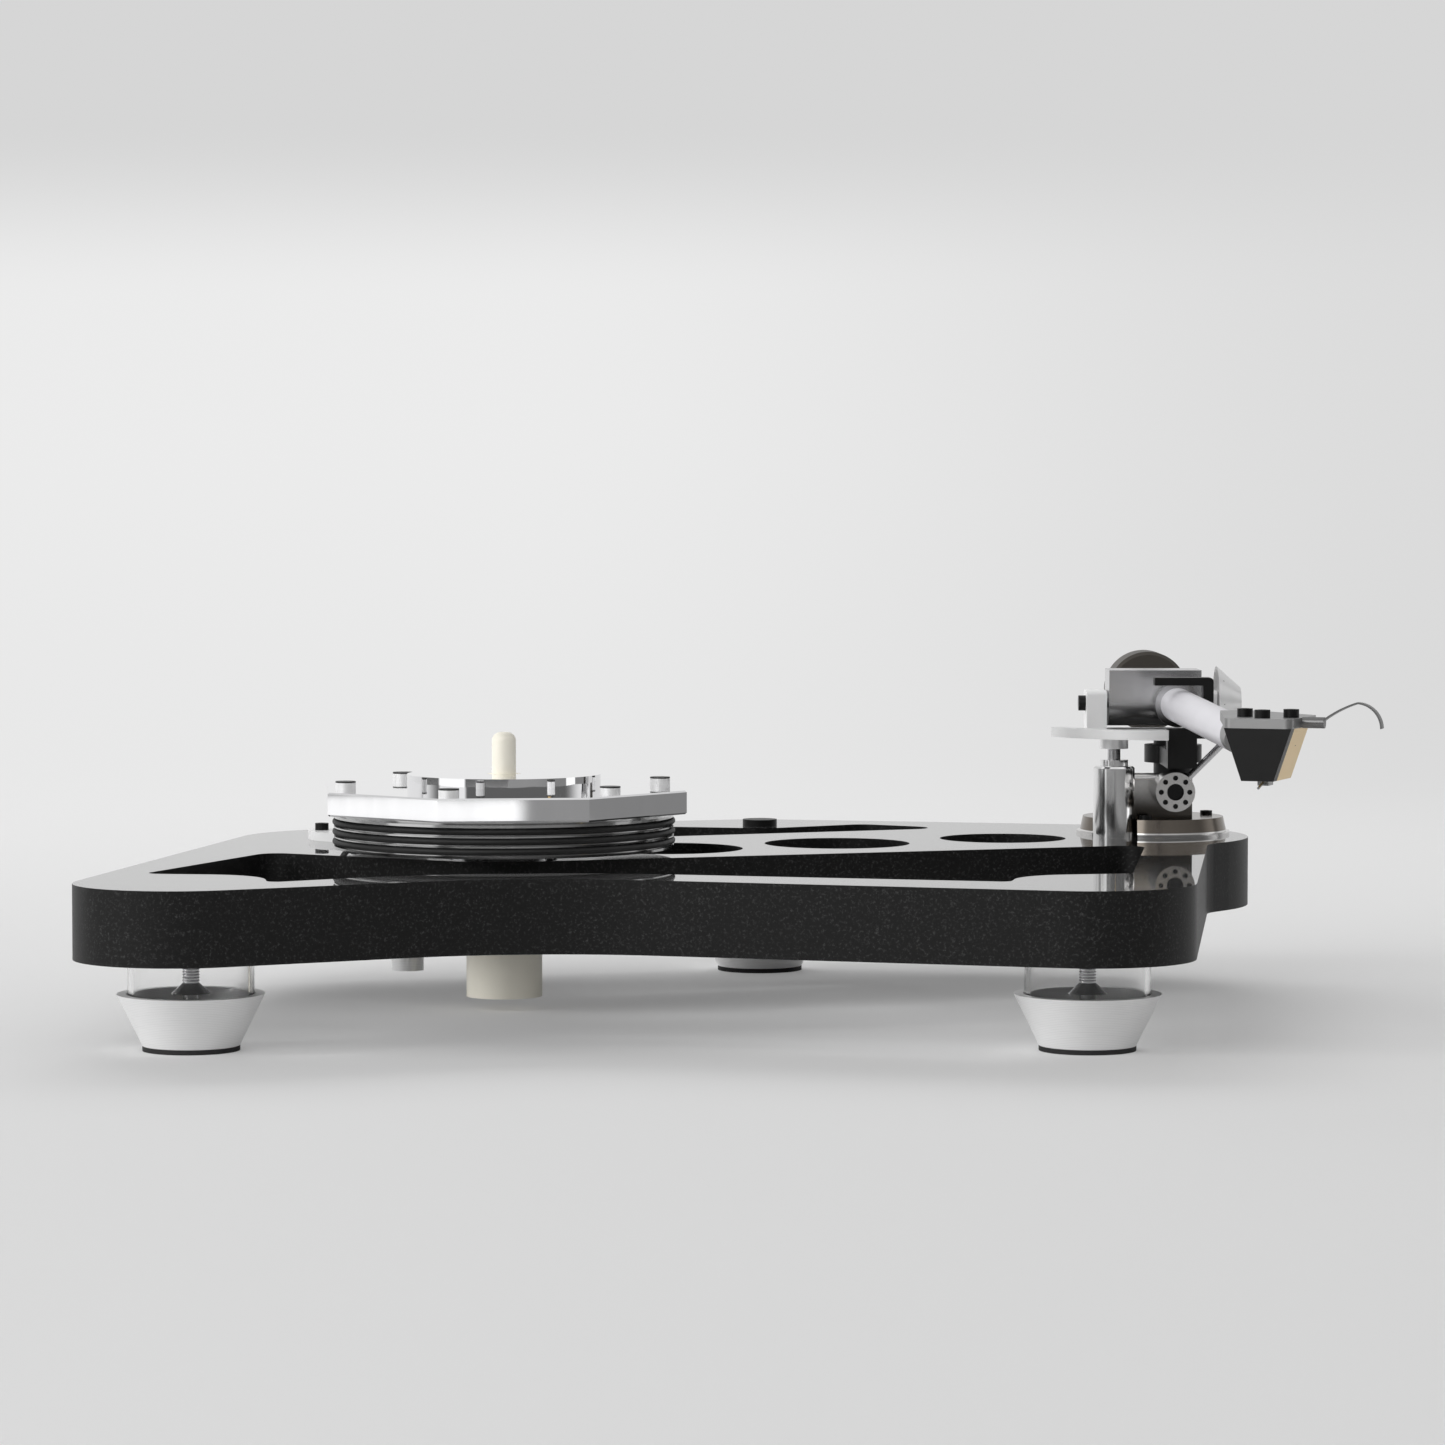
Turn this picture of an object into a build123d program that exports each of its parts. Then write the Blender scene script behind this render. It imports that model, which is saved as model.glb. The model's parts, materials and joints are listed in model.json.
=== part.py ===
# Skeletal belt-drive turntable with its platter lifted off, standing on three cup feet.
# Sizes are millimetres. The model is laid out from the platter spindle, with the floor at Z = 0
# and the front towards -Y, and is then moved so that its footprint is centred on the origin.
import os
from math import asin, atan2, cos, degrees, hypot, pi, radians, sin

from build123d import *

# Running and seating clearances
running_gap = 0.05
seat_gap = 0.03
free_gap = 0.3

# How far a cut runs past the face it starts from
past_face = 1.0

# Hexagon socket of a screw, as shares of its head's radius and height
key_radius_share = 0.6
key_depth_share = 0.6

# Heights of the plinth
pad_thickness = 1.4
plinth_bottom = 25.5
skin_thickness = 1.5
core_thickness = 18.0
plinth_top = plinth_bottom + core_thickness + 2 * skin_thickness

# Plan of the plinth
front_left_foot = (-82.0, -105.0)
front_right_foot = (166.0, -105.0)
rear_foot = (77.0, 119.0)
lobe_radius = 30.0
left_lobe_shift = 2.5
rear_lobe_radius = 28.0
rear_corner = (-45.0, 65.0)
rear_corner_radius = 40.0
waist_centre_x = 20.0
waist_front_y = -95.0
waist_radius = 90.0
front_beam_width = 21.0
arm_end_reach = 196.0
arm_end_radius = 47.5
notch_radius = 15.0
notch_angle = -43.5
hub_radius = 33.0
beam_half_width = 42.0
beam_rear_half_width = 46.0
left_beam_rear_width = 24.0
junction_setback = 14.0
lobe_pad_radius = 20.0
lobe_pad_setback = 7.0
front_right_turn = 184.0
right_beam_reach = 36.7
right_beam_turn = 75.0
left_beam_reach = 34.7
left_beam_turn = 109.0
left_beam_share = 0.42
corner_radius = 6.0
step_radius = 3.0
tip_radius = 4.0
slot_corner_radius = 7.0
slot_start = 45.0
slot_end = 155.0
slot_right_end = (33.0, -3.0)
slot_left_end = (-38.0, -12.0)
rear_boss_radius = 13.0
peg_gap = 0.7
lightening_holes = [(52.0, 23.0), (108.0, 22.2), (164.0, 19.5)]

# Feet
cup_base_radius = 13.5
cup_rim_radius = 20.5
cup_height = 14.35
cup_floor = 3.6
cup_well_radius = 11.0
foot_ring_radius = 17.5
foot_ring_wall = 1.5
foot_ring_seat = 3.75
stud_radius = 2.2
stud_engagement = 12.0
stud_collar_radius = 5.5
stud_collar_height = 3.0
rear_cap_radius = 5.5
rear_cap_height = 2.0

# Main bearing and spindle
housing_radius = 11.3
housing_bottom = 4.0
housing_floor = 4.0
housing_neck_radius = 9.4
housing_bore_radius = 7.0
clamp_ring_radius = 16.0
clamp_ring_height = 1.8
shaft_radius = 5.0
bush_length = 9.0
lower_bush_height = 10.0
thrust_ball_radius = 2.5
spindle_radius = 3.6
spindle_length = 12.4
spindle_tip_radius = 2.6

# Sub-platter, laid out upwards from the top of the plinth
pulley_lift = 2.1
pulley_radius = 50.5
belt_count = 3
belt_radius = 0.95
belt_pitch = 2.9
groove_gap = 0.3
flange_width = 0.7
lip_drop = 0.5
neck_radius = 47.0
neck_height = 1.0
octagon_radius = 57.0
octagon_thickness = 7.0
octagon_turn = -17.0
octagon_chamfer = 0.5
boss_radius = 28.8
boss_height = 4.0
pad_count = 6
pad_radius = 3.0
pad_height = 2.4
pad_ring_radius = 47.5
pad_turn = 13.0

# Motor and drive
motor_place = (-45.0, 62.0)
motor_radius = 16.0
motor_hole_gap = 1.0
motor_bottom = 12.0
motor_cover_radius = 18.5
motor_cover_height = 2.6
motor_shaft_radius = 1.5
motor_shaft_depth = 12.0
speed_ratio = 7.5
motor_pulley_foot = 1.0
motor_screw_ring = 14.3
motor_screw_head = 2.1
motor_screw_shank = 1.2
motor_screw_depth = 8.0
motor_screw_angles = [180.0, 60.0, -60.0]

# Low-voltage power socket under the plinth
socket_place = (-30.4, 25.0)
socket_radius = 4.85
socket_bottom = 9.2
socket_bore_radius = 2.75
socket_bore_depth = 9.0
socket_pin_radius = 1.0
socket_pin_setback = 1.0
socket_stem_radius = 3.0
socket_stem_length = 10.0

# Tonearm pivot and its base
pivot = (206.7, 84.0)
pivot_height = 41.0
base_place = (200.5, 84.5)
base_radius = 24.0
base_shoulder_radius = 23.0
base_rim_radius = 22.0
base_flange_height = 1.0
base_height = 5.5
base_screw_ring = 18.5
base_screw_angles = [20.0, 140.0, 258.0]
base_screw_head = 1.9
base_screw_head_height = 1.2
base_screw_shank = 1.2
base_screw_depth = 16.0
pillar_radius = 6.1
pillar_height = 29.5
stem_radius = 5.0
arm_nut_across = 17.0
arm_nut_height = 6.0
stem_below_nut = 2.0
yoke_pin_radius = 3.0
yoke_pin_depth = 20.0

# Arm lift and cue lever
lift_column_place = (187.0, 69.5)
lift_column_radius = 6.5
lift_column_height = 22.0
lift_column_floor = 4.0
lift_column_chamfer = 0.6
lift_collar_radius = 4.4
lift_collar_height = 2.0
lift_piston_radius = 2.0
lift_piston_insertion = 13.0
lift_rail_inner = 41.0
lift_rail_width = 4.0
lift_rail_bottom = 31.5
lift_rail_thickness = 3.0
lift_rail_from = -152.0
lift_rail_to = -97.0
lift_link_width = 5.0
lift_link_thickness = 1.6
lift_boss_radius = 4.4
lift_boss_height = 4.0
cue_axis_height = 14.5
cue_axis_offset = -1.5
cue_barrel_radius = 6.1
cue_barrel_length = 14.0
cue_housing_depth = 5.0
cue_housing_side = 6.5
cue_housing_rise = 5.0
cue_housing_fillet = 2.0
cue_journal_radius = 2.5
cue_recess_radius = 2.6
cue_recess_depth = 2.0
cue_hole_count = 8
cue_hole_ring = 4.4
cue_hole_radius = 0.8
cue_hole_depth = 1.6
lever_radius = 1.1
lever_length = 34.0
lever_angle = 45.0
lever_setback = 4.0
lever_socket_depth = 2.0
lever_tip_radius = 1.9
lever_tip_length = 6.0

# Arm rest
rest_collar_radius = 9.0
rest_collar_height = 5.5
rest_collar_drop = 1.5
rest_reach = 34.0
rest_width = 6.0
rest_arm_left = -5.0
rest_arm_right = 4.0
rest_post_left = 5.8
rest_post_width = 3.2
rest_hook_reach = 9.0
rest_hook_rise = 7.0
rest_hook_thickness = 2.4
rest_seat_drop = 6.3
rest_seat_thickness = 3.0

# Yoke, bearing block and arm, measured from the pivot
yoke_plate_gap = 1.0
yoke_plate_thickness = 2.9
yoke_depth = 14.0
cheek_rise = 4.0
left_cheek_inner = -21.4
left_cheek_width = 6.2
right_cheek_inner = 8.6
right_cheek_width = 4.6
cheek_fillet = 1.2
block_left = -20.8
block_right = 8.0
block_depth = 18.0
block_bottom = -7.0
block_top = 10.6
block_fillet = 7.5
axle_radius = 1.5
axle_inset = 0.7
bearing_cap_radius = 2.4
bearing_cap_height = 2.2
dial_radius = 11.6
dial_small_radius = 5.0
dial_length = 7.5
dial_pin_radius = 2.5
dial_pin_length = 1.0
tube_collar_radius = 6.9
tube_collar_length = 6.0
tube_root_radius = 5.3
tube_tip_radius = 5.0
tube_wall = 0.9
tube_end = 194.0
head_yaw = 21.0
head_side = 4.0
head_lead = 38.0
head_rise = 5.5
head_half_width = 9.5
head_ahead = 11.0
head_behind = 16.0
head_corner_radius = 2.0
head_thickness = 2.6
head_neck_length = 20.0
head_neck_heel = 3.0
head_root_radius = 5.2
cartridge_top_width = 18.4
cartridge_foot_width = 8.8
cartridge_height = 14.0
cartridge_front_length = 3.5
cartridge_body_length = 15.0
bolt_spacing = 12.7
front_bolt_lead = 6.0
bolt_head_radius = 2.1
bolt_head_height = 2.2
bolt_shank_radius = 1.2
bolt_depth = 5.0
stylus_holder = (3.0, 5.0, 1.5)
cantilever_radius = 0.35
cantilever_length = 6.0
cantilever_drop = 1.4
lift_stub_radius = 1.5
lift_stub_length = 6.0
blade_width = 2.4
blade_thickness = 0.5
blade_rise = (4.0, 3.3)
blade_peak = (9.0, 5.4)
blade_fall = (13.2, 3.7)
blade_end = (15.5, -1.3)
weight_radius = 12.8
weight_length = 20.0
weight_offset = 55.0
weight_side = -4.0
weight_rise = 1.7
weight_chamfer = 1.0
weight_screw_radius = 1.5
weight_screw_inset = 1.0
stub_radius = 4.0
stub_end = 69.5

# Values that follow from the driving dimensions
motor_belt_radius = (pulley_radius - lip_drop) / speed_ratio
belt_run_radius = pulley_radius - lip_drop
groove_depth = belt_radius + groove_gap
groove_half_width = belt_radius + groove_gap
pulley_bottom = plinth_top + pulley_lift
first_belt = pulley_bottom + flange_width + groove_half_width
belt_heights = [first_belt + belt_pitch * index for index in range(belt_count)]
pulley_top = belt_heights[-1] + groove_half_width + flange_width
octagon_bottom = pulley_top + neck_height
octagon_top = octagon_bottom + octagon_thickness
boss_top = octagon_top + boss_height
cup_bottom = pad_thickness
cup_rim = cup_bottom + cup_height
stud_bottom = cup_bottom + cup_floor
stud_top = plinth_bottom + stud_engagement
ring_bottom = cup_rim - foot_ring_seat
pivot_z = plinth_top + pivot_height
base_top = plinth_top + base_height
pillar_top = plinth_top + pillar_height
cue_axis_x = pivot[0] + cue_axis_offset
cue_axis_z = plinth_top + cue_axis_height
cue_housing_front = pivot[1] - pillar_radius - free_gap - cue_housing_depth
cue_barrel_back = cue_housing_front - free_gap
cue_barrel_front = cue_barrel_back - cue_barrel_length
lift_column_top = plinth_top + lift_column_height
rail_z = plinth_top + lift_rail_bottom
beam_angle = degrees(atan2(pivot[1], pivot[0]))
head_centre = (head_side, -tube_end - head_lead)


def polar(centre, reach, angle):
    """Point at a reach and an angle in degrees from a centre."""
    return (centre[0] + reach * cos(radians(angle)), centre[1] + reach * sin(radians(angle)))


def along_beam(reach, offset):
    """Point on the main beam: reach from the spindle towards the pivot, offset to its rear side."""
    return polar(polar((0, 0), reach, beam_angle), offset, beam_angle + 90)


def tangent_line(first, second):
    """Ends of the line that runs from one peg to the next; a peg is x, y and a signed radius."""
    run_x, run_y = second[0] - first[0], second[1] - first[1]
    heading = atan2(run_y, run_x) - asin((second[2] - first[2]) / hypot(run_x, run_y))
    left_x, left_y = -sin(heading), cos(heading)
    start = (first[0] - first[2] * left_x, first[1] - first[2] * left_y)
    end = (second[0] - second[2] * left_x, second[1] - second[2] * left_y)
    return start, end, heading


def string_round(pegs):
    """Closed wire drawn like a string round pegs; a negative radius bends it the other way."""
    count = len(pegs)
    lines = [tangent_line(pegs[index], pegs[(index + 1) % count]) for index in range(count)]
    edges = []
    for index, (x, y, radius) in enumerate(pegs):
        arrive = lines[index - 1]
        leave = lines[index]
        turn = (leave[2] - arrive[2]) % (2 * pi)
        if radius < 0:
            turn -= 2 * pi
        middle = arrive[2] + turn / 2
        through = (x + radius * sin(middle), y - radius * cos(middle))
        edges.append(ThreePointArc(arrive[1], through, leave[0]))
        edges.append(Line(leave[0], leave[1]))
    return Wire(edges)


def meeting_point(first, first_reach, second, second_reach):
    """Point at two reaches from two centres, on the left of the way from first to second."""
    run_x, run_y = second[0] - first[0], second[1] - first[1]
    run = hypot(run_x, run_y)
    ahead = (first_reach**2 - second_reach**2 + run**2) / (2 * run)
    aside = (first_reach**2 - ahead**2) ** 0.5
    x = first[0] + (ahead * run_x - aside * run_y) / run
    y = first[1] + (ahead * run_y + aside * run_x) / run
    return (x, y)


def beside(first, second, share, inset):
    """Point at a share of the line between two pegs, set in from that line."""
    start, end, heading = tangent_line(first, second)
    x = start[0] + share * (end[0] - start[0]) - inset * sin(heading)
    y = start[1] + share * (end[1] - start[1]) + inset * cos(heading)
    return (x, y)


def rod(x, y, radius, bottom, top):
    """Upright cylinder between two heights."""
    return Pos(x, y, (bottom + top) / 2) * Cylinder(radius, top - bottom)


def cone(x, y, low_radius, high_radius, bottom, top):
    """Upright truncated cone between two heights."""
    return Pos(x, y, (bottom + top) / 2) * Cone(low_radius, high_radius, top - bottom)


def box(low, high):
    """Box between two opposite corners."""
    size = [high[axis] - low[axis] for axis in range(3)]
    middle = [(high[axis] + low[axis]) / 2 for axis in range(3)]
    return Pos(*middle) * Box(*size)


def socket_screw(x, y, shank_radius, head_radius, bottom, seat, top):
    """Upright cap screw with a hexagon socket in its head."""
    key_depth = key_depth_share * (top - seat)
    key = extrude(RegularPolygon(key_radius_share * head_radius, 6), key_depth + past_face)
    screw = rod(x, y, shank_radius, bottom, seat) + rod(x, y, head_radius, seat, top)
    return screw - Pos(x, y, top - key_depth) * key


def lying_x(start, end, radius, y=0.0, z=0.0):
    """Cylinder along X."""
    return Pos((start + end) / 2, y, z) * Rot(0, 90, 0) * Cylinder(radius, end - start)


def lying_y(start, end, radius, x=0.0, z=0.0):
    """Cylinder along Y."""
    return Pos(x, (start + end) / 2, z) * Rot(90, 0, 0) * Cylinder(radius, end - start)


def at_pivot(shape):
    """Places a shape that was drawn about the pivot."""
    return Pos(pivot[0], pivot[1], pivot_z) * shape


def on_head(shape):
    """Places a shape drawn about the headshell's centre with its front towards -Y."""
    return at_pivot(Pos(*head_centre, head_rise) * Rot(0, 0, -head_yaw) * shape)


# Outline pegs of the plinth, shared by the outer edge and the openings
left_lobe = (front_left_foot[0] - left_lobe_shift, front_left_foot[1], lobe_radius)
right_lobe = (*front_right_foot, lobe_radius)
rear_lobe = (*rear_foot, rear_lobe_radius)
rear_left = (*rear_corner, rear_corner_radius)
arm_end = (*along_beam(arm_end_reach, 0), arm_end_radius)
waist = (waist_centre_x, waist_front_y - waist_radius, -waist_radius)
notch = (*polar(arm_end, arm_end_radius + notch_radius + peg_gap, notch_angle), -notch_radius)


def plinth_outline():
    """Outer edge with its three lobes, hollow front and rounded arm end."""
    pegs = [left_lobe, waist, right_lobe, notch, arm_end, rear_lobe, rear_left]
    return make_face(string_round(pegs))


def front_opening():
    """Opening between the front beam, the side beams and the main beam."""
    left_pad = (front_left_foot[0], front_left_foot[1] + lobe_pad_setback)
    right_pad = (front_right_foot[0], front_right_foot[1] + lobe_pad_setback)
    reach = lobe_pad_radius + step_radius + peg_gap
    waist_back = (waist[0], waist[1], -(waist_radius + front_beam_width))
    waist_reach = waist_radius + front_beam_width + step_radius + 2 * peg_gap
    front_left = (*meeting_point(left_pad, reach, waist, waist_reach), step_radius)
    front_right = (*polar(right_pad, reach, front_right_turn), step_radius)
    right_front = (*polar(front_right_foot, right_beam_reach, right_beam_turn), corner_radius)
    junction_reach = arm_end_reach - junction_setback
    right_rear = (*along_beam(junction_reach, -beam_half_width - corner_radius), corner_radius)
    left_inset = left_beam_rear_width + corner_radius
    left_rear = (*beside(rear_left, left_lobe, left_beam_share, left_inset), corner_radius)
    left_front = (*polar(front_left_foot, left_beam_reach, left_beam_turn), tip_radius)
    pegs = [
        (*left_pad, -lobe_pad_radius),
        front_left,
        waist_back,
        front_right,
        (*right_pad, -lobe_pad_radius),
        right_front,
        right_rear,
        (0, 0, -hub_radius),
        left_rear,
        left_front,
    ]
    return make_face(string_round(pegs))


def rear_slot():
    """Slot between the main beam and the rear beam, bent round the rear foot's boss."""
    offset = beam_rear_half_width + slot_corner_radius
    pegs = [
        (*along_beam(slot_start, offset), slot_corner_radius),
        (*along_beam(slot_end, offset), slot_corner_radius),
        (rear_foot[0] + slot_right_end[0], rear_foot[1] + slot_right_end[1], slot_corner_radius),
        (*rear_foot, -rear_boss_radius),
        (rear_foot[0] + slot_left_end[0], rear_foot[1] + slot_left_end[1], slot_corner_radius),
    ]
    return make_face(string_round(pegs))


def plinth_plan():
    """Plan of all three plinth layers."""
    plan = plinth_outline() - front_opening() - rear_slot()
    for reach, radius in lightening_holes:
        plan -= Pos(*along_beam(reach, 0)) * Circle(radius)
    return plan


base_screw_places = [polar(base_place, base_screw_ring, angle) for angle in base_screw_angles]
motor_screw_places = [polar(motor_place, motor_screw_ring, angle) for angle in motor_screw_angles]
feet = {"front_left": front_left_foot, "front_right": front_right_foot, "rear": rear_foot}


def plinth_bores():
    """Bores through the plinth for everything that is fastened to it."""
    below = plinth_bottom - past_face
    above = plinth_top + past_face
    bores = rod(0, 0, housing_neck_radius + seat_gap, below, above)
    bores += rod(*motor_place, motor_radius + motor_hole_gap, below, above)
    bores += rod(*pivot, stem_radius + seat_gap, below, above)
    bores += rod(*socket_place, socket_stem_radius + seat_gap, below, plinth_bottom + socket_stem_length)
    for place in feet.values():
        bores += rod(*place, stud_radius + seat_gap, below, stud_top)
    for place in base_screw_places:
        bores += rod(*place, base_screw_shank + seat_gap, plinth_top - base_screw_depth, above)
    return bores


def plinth_layer(bottom, top):
    """One layer of the plinth between two heights."""
    return Pos(0, 0, bottom) * extrude(plinth_plan(), top - bottom) - plinth_bores()


def foot_parts(place):
    """Cup, pad, ring and stud of one foot."""
    x, y = place
    cup = cone(x, y, cup_base_radius, cup_rim_radius, cup_bottom, cup_rim)
    cup -= rod(x, y, cup_well_radius, stud_bottom, cup_rim)
    cup -= rod(x, y, foot_ring_radius + free_gap, ring_bottom, cup_rim + past_face)
    ring = rod(x, y, foot_ring_radius, ring_bottom, plinth_bottom)
    ring -= rod(x, y, foot_ring_radius - foot_ring_wall, ring_bottom, plinth_bottom)
    stud = rod(x, y, stud_radius, stud_bottom, stud_top)
    stud += cone(x, y, stud_collar_radius, stud_radius, cup_rim, cup_rim + stud_collar_height)
    return {
        "cup": cup,
        "pad": rod(x, y, cup_base_radius, 0, pad_thickness),
        "ring": ring,
        "stud": stud,
    }


def bearing_parts():
    """Main bearing: housing, clamp ring, bushes and thrust ball."""
    neck_top = plinth_top + clamp_ring_height
    bore_bottom = housing_bottom + housing_floor
    housing = rod(0, 0, housing_radius, housing_bottom, plinth_bottom)
    housing += rod(0, 0, housing_neck_radius, plinth_bottom, neck_top)
    housing -= rod(0, 0, housing_bore_radius, bore_bottom, neck_top + past_face)
    clamp = rod(0, 0, clamp_ring_radius, plinth_top, neck_top)
    clamp -= rod(0, 0, housing_neck_radius + seat_gap, plinth_top, neck_top)
    bushes = []
    for bottom in (bore_bottom + lower_bush_height, plinth_top - bush_length):
        bush = rod(0, 0, housing_bore_radius - seat_gap, bottom, bottom + bush_length)
        bush -= rod(0, 0, shaft_radius + running_gap, bottom, bottom + bush_length)
        bushes.append(bush)
    ball = Pos(0, 0, bore_bottom + thrust_ball_radius) * Sphere(thrust_ball_radius)
    return {
        "bearing_housing": housing,
        "bearing_clamp_ring": clamp,
        "lower_bush": bushes[0],
        "upper_bush": bushes[1],
        "thrust_ball": ball,
    }


def grooved_pulley(x, y, run_radius, bottom, top):
    """Pulley with one rectangular groove for each belt."""
    pulley = rod(x, y, run_radius + lip_drop, bottom, top)
    for height in belt_heights:
        low = height - groove_half_width
        high = height + groove_half_width
        groove = rod(x, y, run_radius + lip_drop + past_face, low, high)
        groove -= rod(x, y, run_radius - groove_depth, low, high)
        pulley -= groove
    return pulley


def octagon(radius, bottom, top):
    """Eight-sided plate between two heights."""
    face = RegularPolygon(radius, 8, rotation=octagon_turn)
    return Pos(0, 0, bottom) * extrude(face, top - bottom)


def sub_platter_parts():
    """Sub-platter, its spindle shaft and the platter pads."""
    shaft_bottom = housing_bottom + housing_floor + 2 * thrust_ball_radius + running_gap
    wheel = grooved_pulley(0, 0, belt_run_radius, pulley_bottom, pulley_top)
    wheel += rod(0, 0, neck_radius, pulley_top, octagon_bottom)
    plate = octagon(octagon_radius, octagon_bottom, octagon_top)
    rims = plate.edges().filter_by(GeomType.LINE).filter_by(lambda edge: abs(edge.tangent_at(0).Z) < 0.5)
    wheel += chamfer(rims, octagon_chamfer)
    wheel += rod(0, 0, boss_radius, octagon_top, boss_top)
    wheel -= rod(0, 0, shaft_radius + seat_gap, pulley_bottom - past_face, boss_top + past_face)
    shaft = rod(0, 0, shaft_radius, shaft_bottom, boss_top)
    pin = rod(0, 0, spindle_radius, boss_top, boss_top + spindle_length)
    tip = pin.faces().sort_by(Axis.Z)[-1].edges()
    shaft += fillet(tip, spindle_tip_radius)
    pads = Part()
    for index in range(pad_count):
        place = polar((0, 0), pad_ring_radius, pad_turn + index * 360 / pad_count)
        pads += rod(*place, pad_radius, octagon_top, octagon_top + pad_height)
    return {"sub_platter": wheel, "record_spindle": shaft, "platter_pads": pads}


def belt_loop(height):
    """One round belt run round both pulleys."""
    pegs = [(0, 0, belt_run_radius), (*motor_place, motor_belt_radius)]
    path = Pos(0, 0, height) * string_round(pegs)
    start = path.position_at(0)
    section = Plane(start, z_dir=path.tangent_at(0)) * Circle(belt_radius)
    return sweep(section, path=path)


def drive_parts():
    """Motor, its cover, screws, pulley and shaft, and the belts."""
    x, y = motor_place
    cover_top = plinth_top + motor_cover_height
    pulley_low = cover_top + motor_pulley_foot
    bore = motor_shaft_radius + running_gap
    shaft_bottom = plinth_top - motor_shaft_depth
    body = rod(x, y, motor_radius, motor_bottom, plinth_top)
    body -= rod(x, y, bore, shaft_bottom - free_gap, plinth_top + past_face)
    cover = rod(x, y, motor_cover_radius, plinth_top, cover_top)
    cover -= rod(x, y, motor_shaft_radius + free_gap, plinth_top - past_face, cover_top + past_face)
    screws = Part()
    for place in motor_screw_places:
        low = plinth_top - motor_screw_depth
        hole = rod(*place, motor_screw_shank + seat_gap, low, cover_top)
        head_top = cover_top + motor_screw_head
        screws += socket_screw(*place, motor_screw_shank, motor_screw_head, low, cover_top, head_top)
        cover -= hole
        body -= hole
    pulley = grooved_pulley(x, y, motor_belt_radius, pulley_low, pulley_top)
    pulley -= rod(x, y, motor_shaft_radius + seat_gap, pulley_low - past_face, pulley_top + past_face)
    belts = Compound([belt_loop(height) for height in belt_heights])
    return {
        "motor_body": body,
        "motor_cover": cover,
        "motor_screws": screws,
        "motor_pulley": pulley,
        "motor_shaft": rod(x, y, motor_shaft_radius, shaft_bottom, pulley_top),
        "drive_belts": belts,
    }


def power_socket():
    """Barrel socket that hangs under the plinth, open downwards, with its centre pin."""
    x, y = socket_place
    bore_top = socket_bottom + socket_bore_depth
    socket = rod(x, y, socket_radius, socket_bottom, plinth_bottom)
    socket += rod(x, y, socket_stem_radius, plinth_bottom, plinth_bottom + socket_stem_length)
    socket -= rod(x, y, socket_bore_radius, socket_bottom - past_face, bore_top)
    return socket + rod(x, y, socket_pin_radius, socket_bottom + socket_pin_setback, bore_top)


def arm_base_parts():
    """Arm base with its screws, the pillar through the plinth and its nut."""
    x, y = pivot
    column_x, column_y = lift_column_place
    clear = lift_column_radius + free_gap
    flange_top = plinth_top + base_flange_height
    base = rod(*base_place, base_radius, plinth_top, flange_top)
    base += cone(*base_place, base_shoulder_radius, base_rim_radius, flange_top, base_top)
    base -= rod(x, y, stem_radius + seat_gap, plinth_top - past_face, base_top + past_face)
    base -= rod(column_x, column_y, clear, plinth_top - past_face, base_top + past_face)
    base -= box(
        (column_x - clear, column_y - 2 * base_radius, plinth_top - past_face),
        (column_x + clear, column_y, base_top + past_face),
    )
    screws = Part()
    for place in base_screw_places:
        base -= rod(*place, base_screw_shank + seat_gap, plinth_top - past_face, base_top + past_face)
        low = plinth_top - base_screw_depth
        head_top = base_top + base_screw_head_height
        screws += socket_screw(*place, base_screw_shank, base_screw_head, low, base_top, head_top)
    nut_bottom = plinth_bottom - arm_nut_height
    pillar = rod(x, y, stem_radius, nut_bottom - stem_below_nut, base_top)
    pillar += rod(x, y, pillar_radius, base_top, pillar_top)
    pin_bore_bottom = pillar_top - yoke_pin_depth - free_gap
    pillar -= rod(x, y, yoke_pin_radius + running_gap, pin_bore_bottom, pillar_top + past_face)
    nut_face = RegularPolygon(arm_nut_across / 2, 6, major_radius=False)
    nut = Pos(x, y, nut_bottom) * extrude(nut_face, arm_nut_height)
    nut -= rod(x, y, stem_radius + seat_gap, nut_bottom - past_face, plinth_bottom + past_face)
    return {"arm_base": base, "arm_base_screws": screws, "arm_pillar": pillar, "arm_nut": nut}


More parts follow.
